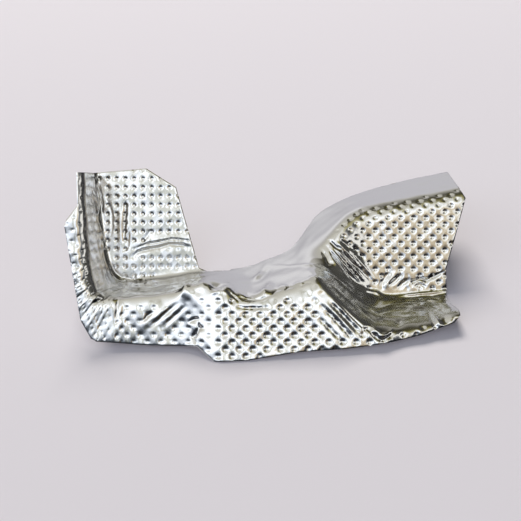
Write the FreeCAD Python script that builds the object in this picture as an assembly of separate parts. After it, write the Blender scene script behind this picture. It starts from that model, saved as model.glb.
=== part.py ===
import FreeCAD, Part
import math
import os

# Tail light heat insulator: one pressed sheet of embossed aluminium. All sizes are in millimetres.
# Press plane: a runs to the right, b up along the leaning panels, h out of the press towards the front.

# Sheet and embossing
SHEET = 0.6
PITCH = 6.5
DIMPLE = 3.8
DIMPLE_DEPTH = 0.9

# How the finished part lies on a table, in degrees
LEAN = 34.1
ROLL = 0.65

# Depths of the press above the left panel
RIM = 70.0
FACE = 80.0
FACE_RAKE = 0.09
FACE_TURN = 0.06
POCKET = 23.0
POCKET_TURN = 0.10
FLANGE = 60.0

# Bend lengths to each side of a fold
LIP_BEND = 22.0
SHELF_BEND = 20.0
VALLEY_BEND = 7.0
CREST_BEND = 24.0
GUTTER_BEND = 8.0

# Left bay: side wall, lip and gutter of the shelf, top of the panel
WALL_A = -118.5
LIP_B = -26.0
GUTTER_B = -14.5
PANEL_TOP = 66.5
HEM_LEFT = -57.0

# Saddle: its brow, its hem and its rear edge
BROW_B = -25.0
HEM_FACE = -67.0
REAR_B = -5.5

# Right bay: foot of the panel, its crest at the right end and the slope of the crest
FOOT_B = -26.5
CREST_B = 42.0
CREST_RISE = 0.19

OVER = 10.0


def on_panel(a, b):
    return FreeCAD.Vector(a, b, 0.0)


def on_rim(a, b):
    return FreeCAD.Vector(a, b, RIM)


def on_face(a, b):
    return FreeCAD.Vector(a, b, FACE - FACE_RAKE * (b - HEM_FACE) - FACE_TURN * (a + 10.0))


def on_pocket(a, b):
    return FreeCAD.Vector(a, b, POCKET - POCKET_TURN * (a - 100.0))


def between(p, q, share):
    return p + (q - p) * share


def towards(p, q, length):
    step = q - p
    return p + step * (min(length, 0.45 * step.Length) / step.Length)


def station(hem, lip, back, top=None, valley=None, crest=None, lip_bend=LIP_BEND):
    # One line of the sheet from its hem to its rear edge, with a pole on each side of every fold.
    valley = valley or between(lip, back, 0.35)
    crest = crest or between(lip, back, 0.65)
    if top is None:
        top = back
        back = between(crest, top, 0.75)
    row = [hem, between(hem, lip, 0.5)]
    legs = [(hem, lip, valley, lip_bend), (lip, valley, crest, VALLEY_BEND)]
    legs += [(valley, crest, back, CREST_BEND), (crest, back, top, GUTTER_BEND)]
    for before, fold, after, bend in legs:
        row += [towards(fold, before, bend), fold, towards(fold, after, bend)]
    return row + [between(back, top, 0.7), top]


def shelf_station(hem, lip, back, top):
    return station(hem, lip, back, top, lip_bend=SHELF_BEND)


def crest_at(a):
    return CREST_B + CREST_RISE * (a - 100.0)


V = FreeCAD.Vector

# Stations down the left side, round the corner and along the shelf
top_b = PANEL_TOP + OVER + 2.0
side_hem = WALL_A - 39.5
hem_b = HEM_LEFT - 9.0
net = [
    shelf_station(on_rim(side_hem, top_b), on_rim(WALL_A, top_b), on_panel(WALL_A - 4, top_b),
                  on_panel(WALL_A + 6.5, top_b + 2)),
    shelf_station(on_rim(side_hem, 56), on_rim(WALL_A, 55), on_panel(WALL_A - 2.5, 55), on_panel(-105, top_b + 2)),
    shelf_station(on_rim(side_hem, 32), on_rim(WALL_A + 0.5, 30), on_panel(WALL_A, 30), on_panel(-92, top_b + 2)),
    shelf_station(on_rim(side_hem + 1, 5), on_rim(WALL_A + 2, 7), on_panel(WALL_A + 3.5, 8), on_panel(-80, top_b + 2)),
    shelf_station(on_rim(side_hem + 6, -28), on_rim(WALL_A + 4, -13), on_panel(WALL_A + 7, -6),
                  on_panel(-68, top_b + 2)),
    shelf_station(on_rim(side_hem + 22, HEM_LEFT - 7), on_rim(WALL_A + 8, LIP_B + 1.5),
                  on_panel(WALL_A + 12, GUTTER_B - 1), on_panel(-58, 74)),
    shelf_station(on_rim(-100, hem_b), on_rim(-98, LIP_B + 0.5), on_panel(-95, GUTTER_B - 0.5), on_panel(-50, 62)),
    shelf_station(on_rim(-85, hem_b), on_rim(-84, LIP_B + 2), on_panel(-82, GUTTER_B + 0.5), on_panel(-45, 48)),
    shelf_station(on_rim(-70, hem_b), on_rim(-69, LIP_B + 3.5), on_panel(-70, GUTTER_B + 2), on_panel(-40, 34)),
    shelf_station(on_rim(-57, hem_b), on_rim(-56, LIP_B + 5), on_panel(-57, GUTTER_B + 4), on_panel(-35, 20)),
    shelf_station(V(-50, hem_b, RIM + 1), V(-49, LIP_B + 6.7, RIM + 0.5), on_panel(-50, GUTTER_B + 5),
                  on_panel(-32, 11)),
    shelf_station(V(-44, hem_b - 1, RIM + 3.5), V(-43.5, LIP_B + 8.7, RIM + 2), on_panel(-45, GUTTER_B + 6),
                  on_panel(-30, 4)),
    shelf_station(V(-39, hem_b - 3, RIM + 6.5), V(-39, LIP_B + 9.6, RIM + 3.5), on_panel(-41, GUTTER_B + 6.5),
                  on_panel(-28, -2)),
]

# Stations across the saddle
net += [
    station(V(-33, HEM_FACE - 7, FACE - 0.5), V(-33, BROW_B + 9, FACE - 5), V(-35, REAR_B - 2, 1)),
    station(on_face(-26, HEM_FACE - 7), on_face(-26, BROW_B + 7), V(-27, REAR_B - 1.5, 2)),
    station(on_face(-18, HEM_FACE - 7), on_face(-18, BROW_B + 2.7), V(-18, REAR_B - 1, 3)),
    station(on_face(-9, HEM_FACE - 7), on_face(-8, BROW_B - 0.8), V(-7, REAR_B + 1, 4)),
    station(on_face(3, HEM_FACE - 6), on_face(3, BROW_B + 1.5), V(4, REAR_B + 6, 3)),
    station(on_face(15, HEM_FACE - 4), on_face(15, BROW_B + 5.2), V(15, REAR_B + 10, 1)),
    station(on_face(27, HEM_FACE - 2), on_face(27, BROW_B + 8), V(25, REAR_B + 15, -3)),
    station(on_face(38, HEM_FACE - 1), on_face(38.5, BROW_B + 13.5), V(33, REAR_B + 28, -12)),
]

# Stations down the diagonal ridge and across the right bay
rear_h = POCKET - FLANGE
net += [
    station(on_face(48, HEM_FACE), on_face(47.5, BROW_B + 10), V(42, REAR_B + 41, -20), None,
            V(54, BROW_B + 13, 42), V(47, 16, 34)),
    station(on_face(58, HEM_FACE), on_face(60, BROW_B - 3), V(58, 45, -27), None,
            V(67, BROW_B + 6.5, 31), V(60, 31, 29)),
    station(on_face(67, HEM_FACE + 1), on_face(69, BROW_B - 15), V(73, 51, rear_h + 6), None,
            on_pocket(77, FOOT_B + 3), on_pocket(71, crest_at(71))),
    station(on_face(75, HEM_FACE + 1), on_face(76, BROW_B - 20), V(82, 54, rear_h + 4), None,
            on_pocket(84, FOOT_B + 1), on_pocket(80, crest_at(80))),
    station(on_face(84, HEM_FACE + 1), on_face(84, BROW_B - 22), V(92, 57, rear_h + 2), None,
            on_pocket(92, FOOT_B), on_pocket(90, crest_at(90))),
    station(V(95, HEM_FACE + 1, 70), V(95, BROW_B - 21, 68), V(105, 60.5, rear_h), None,
            on_pocket(101, FOOT_B), on_pocket(101, crest_at(101))),
    station(V(112, HEM_FACE + 5, 67), V(112, BROW_B - 19, 65), V(122, 64.5, rear_h), None,
            on_pocket(116, FOOT_B + 1), on_pocket(119, crest_at(119))),
    station(V(131, HEM_FACE + 10, 63), V(129, BROW_B - 13, 61), V(143, 68.5, rear_h), None,
            on_pocket(135, FOOT_B + 2), on_pocket(143, crest_at(143))),
    station(V(150, HEM_FACE + 17, 58), V(147, BROW_B - 6, 56), V(166, 73, rear_h), None,
            on_pocket(154, FOOT_B + 3), on_pocket(167, crest_at(167))),
]


def solve3(m, r):
    det = FreeCAD.Vector(*m[0]).dot(FreeCAD.Vector(*m[1]).cross(FreeCAD.Vector(*m[2])))
    out = []
    for k in range(3):
        c = [list(line) for line in m]
        for i in range(3):
            c[i][k] = r[i]
        out.append(FreeCAD.Vector(*c[0]).dot(FreeCAD.Vector(*c[1]).cross(FreeCAD.Vector(*c[2]))) / det)
    return FreeCAD.Vector(*out)


def behind(grid, depth):
    # The same net moved back so that every facet beside a pole lies at one depth behind itself.
    rows = []
    for i, line in enumerate(grid):
        row = []
        for j, p in enumerate(line):
            m = [[0.0] * 3 for k in range(3)]
            rhs = [0.0, 0.0, 0.0]
            for di in (-1, 1):
                for dj in (-1, 1):
                    if not (0 <= i + di < len(grid) and 0 <= j + dj < len(line)):
                        continue
                    n = (grid[i + di][j] - p).cross(line[j + dj] - p) * (di * dj)
                    if n.Length < 1e-9:
                        continue
                    n = n.normalize()
                    for r in range(3):
                        rhs[r] += n[r] * depth
                        for c in range(3):
                            m[r][c] += n[r] * n[c]
            held = [[m[r][c] + (1e-5 if r == c else 0.0) for c in range(3)] for r in range(3)]
            step = FreeCAD.Vector(0, 0, 0)
            for again in range(3):
                step += solve3(held, [rhs[r] - FreeCAD.Vector(*m[r]).dot(step) for r in range(3)])
            row.append(p + step)
        rows.append(row)
    return rows


def section(grid, u):
    # The line of the sheet at any place between stations: a smooth blend of the four stations around it.
    spans = len(grid) - 3
    span = min(int(u), spans - 1)
    ramp = [0.0] * 3 + [float(k) for k in range(spans + 1)] + [float(spans)] * 3
    poles = [list(grid[span + k]) for k in range(4)]
    for level in range(1, 4):
        for k in range(3, level - 1, -1):
            left = ramp[span + k]
            share = (u - left) / (ramp[span + k + 4 - level] - left)
            poles[k] = [between(p, q, share) for p, q in zip(poles[k - 1], poles[k])]
    return poles[3]


def folded(row):
    # The section as it is pressed: straight legs, and at each fold a bend laid out in short flats.
    points = [row[0]]
    for fold, flats in ((3, 4), (6, 3), (9, 3), (12, 4)):
        start = between(row[fold - 1], row[fold], 0.5)
        finish = between(row[fold], row[fold + 1], 0.5)
        for k in range(flats + 1):
            t = k / flats
            points.append(between(between(start, row[fold], t), between(row[fold], finish, t), t))
    return points + [row[-1]]


def facet(p, q, r, s):
    # One flat between two sections, or two where the sheet twists.
    normal = (q - p).cross(s - p)
    if normal.Length > 1e-9 and abs((r - p).dot(normal.normalize())) < 1e-7:
        return [Part.Face(Part.makePolygon([p, q, r, s, p]))]
    return [Part.Face(Part.makePolygon([p, q, r, p])), Part.Face(Part.makePolygon([p, r, s, p]))]


places = [k / 2 for k in range(2 * (len(net) - 3) + 1)]
skins = [[folded(section(grid, u)) for u in places] for grid in (net, behind(net, -SHEET))]
faces = []
for sections in skins:
    for one, two in zip(sections, sections[1:]):
        for k in range(len(one) - 1):
            faces += facet(one[k], two[k], two[k + 1], one[k + 1])
front, rear = skins
for end in (0, -1):
    for k in range(len(front[end]) - 1):
        faces += facet(front[end][k], front[end][k + 1], rear[end][k + 1], rear[end][k])
    for k in range(len(places) - 1):
        faces += facet(front[k][end], front[k + 1][end], rear[k + 1][end], rear[k][end])
shell = Part.makeShell(faces)
shell.sewShape()
blank = Part.makeSolid(shell)
if blank.Volume < 0:
    blank.reverse()


def curve(points):
    line = Part.BSplineCurve()
    line.interpolate([FreeCAD.Vector(a, b, 0) for a, b in points])
    return line.toShape()


def run(points):
    flat = [FreeCAD.Vector(a, b, 0) for a, b in points]
    return [Part.makeLine(p, q) for p, q in zip(flat, flat[1:])]


# Trim line, seen along the press. The saddle and the flange end at their own rear edge inside it.
right_end = [(144.5, CREST_B + 60), (144.7, CREST_B + 9.5), (148, CREST_B + 3), (139.7, 14.7), (133.6, -6),
             (134, FOOT_B + 4.5), (133, FOOT_B - 3), (136.4, FOOT_B - 6.5), (136.4, FOOT_B - 11),
             (131.9, HEM_FACE + 24.6)]
hem = [(131.9, HEM_FACE + 24.6), (107, HEM_FACE + 16.3), (73, HEM_FACE + 10), (56, HEM_FACE + 8),
       (26, HEM_FACE + 6.2), (-10, HEM_FACE + 0.6), (-31, HEM_FACE)]
left_end = [(-31, HEM_FACE), (-42.5, HEM_LEFT - 0.5), (-74, HEM_LEFT), (-110, HEM_LEFT + 2.5), (-114, HEM_LEFT + 4.5),
            (-121, HEM_LEFT + 17), (-131.8, 23), (-130.5, 27.2), (WALL_A - 4.5, 37.2), (WALL_A - 5.5, PANEL_TOP - 2),
            (-84.5, PANEL_TOP + 1.5), (-62.3, PANEL_TOP - 12.5), (-45.3, REAR_B), (-39.5, REAR_B - 2.2),
            (-22, REAR_B - 1.7), (-22, CREST_B + 60), (144.5, CREST_B + 60)]
loop = Part.Wire(run(right_end) + [curve(hem)] + run(left_end))
die = Part.Face(loop)
die.translate(FreeCAD.Vector(0, 0, -150))
sheet = blank.common(die.extrude(FreeCAD.Vector(0, 0, 300)))

# The top of the side wall falls towards the front
slant = [(PANEL_TOP - 2, 2), (PANEL_TOP - 7, RIM - 4), (PANEL_TOP - 7, RIM + 20), (PANEL_TOP + 30, RIM + 20),
         (PANEL_TOP + 30, 2), (PANEL_TOP - 2, 2)]
wedge = Part.Face(Part.makePolygon([FreeCAD.Vector(WALL_A - 30, b, h) for b, h in slant]))
sheet = sheet.cut(wedge.extrude(FreeCAD.Vector(45, 0, 0)))


def embossed(outline, place, turned, lattice):
    # A flat field of the sheet with its lattice of square dimples; every facet keeps the sheet's thickness.
    corners = [place(a, b) for a, b in outline]
    x = (place(1, 0) - place(0, 0)).normalize()
    n = x.cross(place(0, 1) - place(0, 0)).normalize()
    y = n.cross(x)
    base = corners[0]
    flat = [((p - base).dot(x), (p - base).dot(y)) for p in corners]
    start = place(*lattice) - base

    def inside(u, v, room):
        within = False
        for (u0, v0), (u1, v1) in zip(flat, flat[1:] + flat[:1]):
            share = ((u - u0) * (u1 - u0) + (v - v0) * (v1 - v0)) / ((u1 - u0) ** 2 + (v1 - v0) ** 2)
            share = max(0.0, min(1.0, share))
            if math.hypot(u - u0 - share * (u1 - u0), v - v0 - share * (v1 - v0)) < room:
                return False
            if (v0 > v) != (v1 > v) and u < u0 + (u1 - u0) * (v - v0) / (v1 - v0):
                within = not within
        return within

    turn = math.radians(turned)
    half = DIMPLE / 2
    slope = math.atan2(DIMPLE_DEPTH, half)
    levels = [(0.0, half, DIMPLE_DEPTH),
              (SHEET, half + SHEET * math.tan(slope / 2), DIMPLE_DEPTH + SHEET / math.cos(slope))]
    count = int(250 / PITCH)
    faces = []
    centres = []
    for i in range(-count, count):
        for j in range(-count, count):
            u = start.dot(x) + PITCH * (i * math.cos(turn) - j * math.sin(turn))
            v = start.dot(y) + PITCH * (i * math.sin(turn) + j * math.cos(turn))
            if inside(u, v, 0.75 * DIMPLE):
                centres.append((u, v))
    for depth, reach, apex in levels:
        rim = [p - n * depth for p in corners]
        wires = [Part.makePolygon(rim + rim[:1])]
        for u, v in centres:
            mid = base + x * u + y * v - n * depth
            square = [mid + x * (reach * c) + y * (reach * s) for c, s in ((1, 1), (-1, 1), (-1, -1), (1, -1))]
            tip = base + x * u + y * v - n * apex
            wires.append(Part.makePolygon(square + square[:1]))
            for p, q in zip(square, square[1:] + square[:1]):
                faces.append(Part.Face(Part.makePolygon([p, q, tip, p])))
        faces.append(Part.makeFace(wires, "Part::FaceMakerBullseye"))
    low = [p - n * SHEET for p in corners]
    for k in range(len(corners)):
        m = (k + 1) % len(corners)
        faces.append(Part.Face(Part.makePolygon([corners[k], corners[m], low[m], low[k], corners[k]])))
    skinned = Part.makeShell(faces)
    skinned.sewShape()
    window = Part.Face(Part.makePolygon([p + n * 3 for p in corners + corners[:1]])).extrude(n * -6)
    plate = Part.makeSolid(skinned)
    if plate.Volume < 0:
        plate.reverse()
    return plate, window


fields = [
    embossed([(-101, GUTTER_B + 8), (-50, REAR_B + 4), (-64.5, PANEL_TOP - 14.5), (-85, PANEL_TOP - 1.5),
              (WALL_A + 4.5, PANEL_TOP - 4.5), (WALL_A + 7, 30), (WALL_A + 11, 8)], on_panel, 0, (4.3, -4.6)),
    embossed([(-16, HEM_FACE + 2.5), (-10, HEM_FACE + 3.2), (26, HEM_FACE + 8.8), (56, HEM_FACE + 10.6),
              (64, HEM_FACE + 12), (60, BROW_B - 19), (48, BROW_B - 4), (38, BROW_B), (28, BROW_B - 5),
              (15, BROW_B - 8), (3, BROW_B - 12), (-9, BROW_B - 13), (-16, BROW_B - 11)],
             on_face, 45, (-0.5, -35.9)),
    embossed([(86, FOOT_B + 5.5), (130, FOOT_B + 7), (130.5, -7), (136, 13), (142, CREST_B - 6),
              (84, CREST_B - 17)], on_pocket, 45, (-0.7, -6.1)),
    embossed([(-104, HEM_LEFT + 5), (-74, HEM_LEFT + 2.3), (-71, HEM_LEFT + 2.3), (-71, LIP_B - 8),
              (-100, LIP_B - 11), (-104, LIP_B - 11)], on_rim, 45, (2.1, -3.9)),
]
for plate, window in fields:
    sheet = sheet.cut(window)
sheet = sheet.fuse([plate for plate, window in fields])

lean = math.radians(LEAN)
matrix = FreeCAD.Matrix(1, 0, 0, 0,
                        0, math.sin(lean), -math.cos(lean), 0,
                        0, math.cos(lean), math.sin(lean), 0,
                        0, 0, 0, 1)
part = sheet.Solids[0].copy()
part.Placement = FreeCAD.Placement(matrix)
part.rotate(FreeCAD.Vector(0, 0, 0), FreeCAD.Vector(0, 1, 0), ROLL)
points = part.tessellate(0.1)[0]
low = [min(p[k] for p in points) for k in range(3)]
high = [max(p[k] for p in points) for k in range(3)]
part.translate(FreeCAD.Vector(-(low[0] + high[0]) / 2, -(low[1] + high[1]) / 2, -low[2]))

os.makedirs("parts", exist_ok=True)
part.exportStep("parts/heat_shield.step")
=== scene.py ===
import bpy
import math
import numpy as np
from mathutils import Matrix, Vector
from mathutils.geometry import delaunay_2d_cdt


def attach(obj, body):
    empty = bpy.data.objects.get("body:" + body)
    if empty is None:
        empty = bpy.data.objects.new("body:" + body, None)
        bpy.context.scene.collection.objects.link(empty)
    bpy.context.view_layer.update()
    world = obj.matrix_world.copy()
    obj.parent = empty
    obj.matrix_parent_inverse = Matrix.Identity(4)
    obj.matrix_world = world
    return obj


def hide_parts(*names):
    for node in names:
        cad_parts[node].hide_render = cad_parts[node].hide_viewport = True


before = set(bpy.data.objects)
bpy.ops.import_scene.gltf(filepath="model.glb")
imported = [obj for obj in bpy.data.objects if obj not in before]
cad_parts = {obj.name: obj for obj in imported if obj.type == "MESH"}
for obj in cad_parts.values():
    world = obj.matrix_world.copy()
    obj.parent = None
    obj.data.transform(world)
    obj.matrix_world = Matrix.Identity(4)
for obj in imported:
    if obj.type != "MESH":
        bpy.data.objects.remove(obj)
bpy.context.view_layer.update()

# The heat shield: one sheet of bright rolled aluminium, embossed with dimples and then pressed into bays.
# Nothing is fixed to it. The sheet keeps its thickness through folds, dimples and wrinkles.
# Sizes are in mm in the press plane: a to the right, b up along the panels, h out of it to the front.
SHEET = 0.6
PITCH = 6.5
LEAN = math.radians(34.1)
ROLL = math.radians(0.65)
# Heights over the left panel, and how the face and the pocket fall away
RIM = 70.0
FACE = 80.0
FACE_RAKE = 0.09
FACE_TURN = 0.06
POCKET = 23.0
POCKET_TURN = 0.10
FLANGE_H = -37.0
# Bend lengths to each side of a fold; along the diagonal ridge the lip is folded tighter
LIP_BEND = 22.0
SHELF_BEND = 20.0
RIDGE_BEND = 9.0
VALLEY_BEND = 7.0
CREST_BEND = 24.0
GUTTER_BEND = 8.0
# Left bay
WALL_A = -118.5
SIDE_HEM = WALL_A - 39.5
LIP_B = -26.0
GUTTER_B = -14.5
PANEL_TOP = 66.5
TOP_B = PANEL_TOP + 12.0
WALL_FALL = 5.0
HEM_LEFT = -57.0
HEM_B = HEM_LEFT - 9.0
# Saddle
BROW_B = -25.0
HEM_FACE = -67.0
REAR_B = -5.5
# Right bay
FOOT_B = -26.5
CREST_B = 42.0
CREST_RISE = 0.19


def on_panel(a, b):
    return (a, b, 0.0)


def on_rim(a, b):
    return (a, b, RIM)


def on_face(a, b):
    return (a, b, FACE - FACE_RAKE * (b - HEM_FACE) - FACE_TURN * (a + 10.0))


def on_pocket(a, b):
    return (a, b, POCKET - POCKET_TURN * (a - 100.0))


def crest(a):
    return on_pocket(a, CREST_B + CREST_RISE * (a - 100.0))


def towards(p, q, length):
    # A place on the way from p to q, this far along but short of the middle.
    step = q - p
    size = np.linalg.norm(step)
    return p + step * (min(length, 0.45 * size) / size)


def station(hem, lip, back, top=None, valley=None, ridge=None, lip_bend=LIP_BEND, shares=(0.35, 0.65)):
    # One line of the sheet from hem to rear edge, with a pole on each side of every fold.
    hem, lip, back = (np.array(p, float) for p in (hem, lip, back))
    valley = lip + (back - lip) * shares[0] if valley is None else np.array(valley, float)
    ridge = lip + (back - lip) * shares[1] if ridge is None else np.array(ridge, float)
    if top is None:
        top = back
        back = ridge + (top - ridge) * 0.75
    top = np.array(top, float)
    row = [hem, (hem + lip) / 2]
    for before, fold, after, bend in ((hem, lip, valley, lip_bend), (lip, valley, ridge, VALLEY_BEND),
                                      (valley, ridge, back, CREST_BEND), (ridge, back, top, GUTTER_BEND)):
        row += [towards(fold, before, bend), fold, towards(fold, after, bend)]
    return row + [back + (top - back) * 0.7, top]


def side_station(*points):
    # On the side wall the bend into the rim takes up more of the depth.
    return station(*points, shares=(0.60, 0.80))


def shelf_station(*points):
    return station(*points, lip_bend=SHELF_BEND)


# Down the left side, round the corner and along the shelf
net = [
    side_station(on_rim(SIDE_HEM, TOP_B), on_rim(WALL_A, TOP_B), on_panel(WALL_A - 4, TOP_B),
                 on_panel(WALL_A + 6.5, TOP_B + 2)),
    side_station(on_rim(SIDE_HEM, 56), on_rim(WALL_A, 55), on_panel(WALL_A - 2.5, 55),
                 on_panel(-105, TOP_B + 2)),
    side_station(on_rim(SIDE_HEM, 32), on_rim(WALL_A + 0.5, 30), on_panel(WALL_A, 30),
                 on_panel(-92, TOP_B + 2)),
    side_station(on_rim(SIDE_HEM + 1, 5), on_rim(WALL_A + 2, 7), on_panel(WALL_A + 3.5, 8),
                 on_panel(-80, TOP_B + 2)),
    side_station(on_rim(SIDE_HEM + 6, -28), on_rim(WALL_A + 4, -13), on_panel(WALL_A + 7, -6),
                 on_panel(-68, TOP_B + 2)),
    shelf_station(on_rim(SIDE_HEM + 22, HEM_LEFT - 7), on_rim(WALL_A + 8, LIP_B + 1.5),
                  on_panel(WALL_A + 12, GUTTER_B - 1), on_panel(-58, 74)),
    shelf_station(on_rim(-100, HEM_B), on_rim(-98, LIP_B + 0.5), on_panel(-95, GUTTER_B - 0.5),
                  on_panel(-50, 62)),
    shelf_station(on_rim(-85, HEM_B), on_rim(-84, LIP_B + 2), on_panel(-82, GUTTER_B + 0.5),
                  on_panel(-45, 48)),
    station(on_rim(-70, HEM_B), on_rim(-69, LIP_B + 3.5), on_panel(-70, GUTTER_B + 2), on_panel(-40, 34),
            lip_bend=SHELF_BEND - 3),
    shelf_station(on_rim(-57, HEM_B), on_rim(-56, LIP_B + 5), on_panel(-57, GUTTER_B + 4), on_panel(-35, 20)),
    shelf_station((-50, HEM_B, RIM + 1), (-49, LIP_B + 6.7, RIM + 0.5), on_panel(-50, GUTTER_B + 5),
                  on_panel(-32, 11)),
    shelf_station((-44, HEM_B - 1, RIM + 3.5), (-43.5, LIP_B + 8.7, RIM + 2), on_panel(-45, GUTTER_B + 6),
                  on_panel(-30, 4)),
    shelf_station((-39, HEM_B - 3, RIM + 6.5), (-39, LIP_B + 9.6, RIM + 3.5), on_panel(-41, GUTTER_B + 6.5),
                  on_panel(-28, -2)),
]
# Across the saddle
net += [
    station((-33, HEM_FACE - 7, FACE - 0.5), (-33, BROW_B + 9, FACE - 5), (-35, REAR_B - 2, 1)),
    station(on_face(-26, HEM_FACE - 7), on_face(-26, BROW_B + 7), (-27, REAR_B - 1.5, 2)),
    station(on_face(-18, HEM_FACE - 7), on_face(-18, BROW_B + 2.7), (-18, REAR_B - 1, 3)),
    station(on_face(-9, HEM_FACE - 7), on_face(-8, BROW_B - 0.8), (-7, REAR_B + 1, 4)),
    station(on_face(3, HEM_FACE - 6), on_face(3, BROW_B + 1.5), (4, REAR_B + 6, 3)),
    station(on_face(15, HEM_FACE - 4), on_face(15, BROW_B + 5.2), (15, REAR_B + 10, 1)),
    station(on_face(27, HEM_FACE - 2), on_face(27, BROW_B + 8), (25, REAR_B + 15, -3)),
    station(on_face(38, HEM_FACE - 1), on_face(38.5, BROW_B + 13.5), (33, REAR_B + 28, -12),
            lip_bend=RIDGE_BEND + 7),
]
# Down the diagonal ridge and across the right bay
net += [
    station(on_face(48, HEM_FACE), on_face(41.5, BROW_B + 9.5), (42, REAR_B + 41, -20), None,
            (54, BROW_B + 13, 42), (47, 16, 34), lip_bend=RIDGE_BEND + 2),
    station(on_face(58, HEM_FACE), on_face(53, BROW_B - 3), (58, 45, -27), None,
            (67, BROW_B + 6.5, 31), (60, 31, 29), lip_bend=RIDGE_BEND),
    station(on_face(67, HEM_FACE + 1), on_face(65, BROW_B - 15), (73, 51, FLANGE_H + 6), None,
            on_pocket(77, FOOT_B + 3), crest(71), lip_bend=RIDGE_BEND),
    station(on_face(75, HEM_FACE + 1), on_face(76, BROW_B - 20), (82, 54, FLANGE_H + 4), None,
            on_pocket(84, FOOT_B + 1), crest(80)),
    station(on_face(84, HEM_FACE + 1), on_face(84, BROW_B - 22), (92, 57, FLANGE_H + 2), None,
            on_pocket(92, FOOT_B), crest(90)),
    station((95, HEM_FACE + 1, 70), (95, BROW_B - 21, 68), (105, 60.5, FLANGE_H), None,
            on_pocket(101, FOOT_B), crest(101)),
    station((112, HEM_FACE + 5, 67), (112, BROW_B - 19, 65), (122, 64.5, FLANGE_H), None,
            on_pocket(116, FOOT_B + 1), crest(119)),
    station((131, HEM_FACE + 10, 63), (129, BROW_B - 13, 61), (143, 68.5, FLANGE_H), None,
            on_pocket(135, FOOT_B + 2), crest(143)),
    station((150, HEM_FACE + 17, 58), (147, BROW_B - 6, 56), (166, 73, FLANGE_H), None,
            on_pocket(154, FOOT_B + 3), crest(167)),
]
net = np.array(net)

# The flat blank that the sheet was pressed from: each pole of the net laid out in the plane.
# Panels, skirt and face keep their true shape there, moved down by a drop; the corner is spread like a fan.
# KEYS are the folds along a station; the next three count stations from the left; FAN is in degrees.
KEYS = (0, 3, 6, 9, 12, 15)
LEFT_STATIONS = 13
CORNER = 6
RIGHT_BAY = 22
BLANK_DROP = 60.0
POCKET_DROP = 30.0
FAN = {3: 183.0, 4: 205.0, 5: 238.0}
blank = np.zeros(net.shape[:2] + (2,))
for i, row in enumerate(net):
    hem, lip, valley, ridge, back, top = (row[k] for k in KEYS)
    if i < LEFT_STATIONS:
        reach = np.linalg.norm(lip - back)
        if i < CORNER:
            way = math.radians(FAN.get(i, 180.0))
            lip2 = back[:2] + reach * np.array([math.cos(way), math.sin(way)])
        else:
            lip2 = lip[:2] - (0, BLANK_DROP)
        laid = [lip2 + (hem - lip)[:2], lip2, lip2 + (back[:2] - lip2) * 0.35, lip2 + (back[:2] - lip2) * 0.65,
                back[:2], top[:2]]
    else:
        y = [hem[1] - BLANK_DROP, lip[1] - BLANK_DROP]
        if i < RIGHT_BAY:
            y.append(y[-1] + np.linalg.norm((valley - lip)[1:]))
            y.append(y[-1] + np.linalg.norm((ridge - valley)[1:]))
        else:
            y += [valley[1] - POCKET_DROP, ridge[1] - POCKET_DROP]
        y.append(y[-1] + np.linalg.norm((back - ridge)[1:]))
        y.append(y[-1] + np.linalg.norm((top - back)[1:]))
        laid = [(p[0], q) for p, q in zip((hem, lip, valley, ridge, back, top), y)]
    for k, m, p, q in zip(KEYS, KEYS[1:], laid, laid[1:]):
        p, q = np.array(p), np.array(q)
        whole = np.linalg.norm(row[m] - row[k])
        for j in range(k, m + 1):
            blank[i, j] = p + (q - p) * np.linalg.norm(row[j] - row[k]) / whole


def blend(t, count, degree):
    # Span and weights of a clamped even spline at the places t.
    spans = count - degree
    knots = np.array([0.0] * degree + list(range(spans + 1)) + [float(spans)] * degree)
    t = np.clip(t, 0.0, spans)
    span = np.minimum(t.astype(int), spans - 1)
    i = span + degree
    weights = [np.ones_like(t)]
    for j in range(1, degree + 1):
        saved = np.zeros_like(t)
        grown = []
        for r in range(j):
            right = knots[i + r + 1] - t
            left = t - knots[i + 1 - j + r]
            part = weights[r] / (right + left)
            grown.append(saved + right * part)
            saved = left * part
        weights = grown + [saved]
    return span, weights


def laid_on(poles, u, v):
    # Points of the smooth sheet over a net of poles, u along the part and v from hem to rear.
    iu, wu = blend(u, poles.shape[0], 3)
    iv, wv = blend(v, poles.shape[1], 2)
    out = np.zeros(u.shape + (poles.shape[2],))
    for k in range(4):
        for m in range(3):
            out += (wu[k] * wv[m])[..., None] * poles[iu + k, iv + m]
    return out


def slopes(poles, u, v, step=1e-3):
    # How the sheet runs along u and v.
    du = (laid_on(poles, u + step, v) - laid_on(poles, u - step, v))
    dv = (laid_on(poles, u, v + step) - laid_on(poles, u, v - step))
    su = (np.clip(u + step, 0, poles.shape[0] - 3) - np.clip(u - step, 0, poles.shape[0] - 3))
    sv = (np.clip(v + step, 0, poles.shape[1] - 2) - np.clip(v - step, 0, poles.shape[1] - 2))
    return du / su[..., None], dv / sv[..., None]


def unit(w):
    return w / np.maximum(np.linalg.norm(w, axis=-1, keepdims=True), 1e-12)


U_END = net.shape[0] - 3.0
V_END = net.shape[1] - 2.0


def moved(u, v, gap, du, dv, most, least, spare=0.0):
    # One step over the net that closes a flat gap, no longer than most.
    det = du[:, 0] * dv[:, 1] - du[:, 1] * dv[:, 0]
    det = np.where(abs(det) < least, least, det)
    step_u = np.clip((gap[:, 0] * dv[:, 1] - gap[:, 1] * dv[:, 0]) / det, -most, most)
    step_v = np.clip((du[:, 0] * gap[:, 1] - du[:, 1] * gap[:, 0]) / det, -most, most)
    return np.clip(u + step_u, 0, U_END - spare), np.clip(v + step_v, 0, V_END - spare)


def place_of(points, u, v):
    # Where a point of the flat blank lies on the net, from a first guess.
    for again in range(8):
        gap = points - laid_on(blank, u, v)
        u, v = moved(u, v, gap, *slopes(blank, u, v), 0.5, 1e-9)
    return u, v


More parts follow.
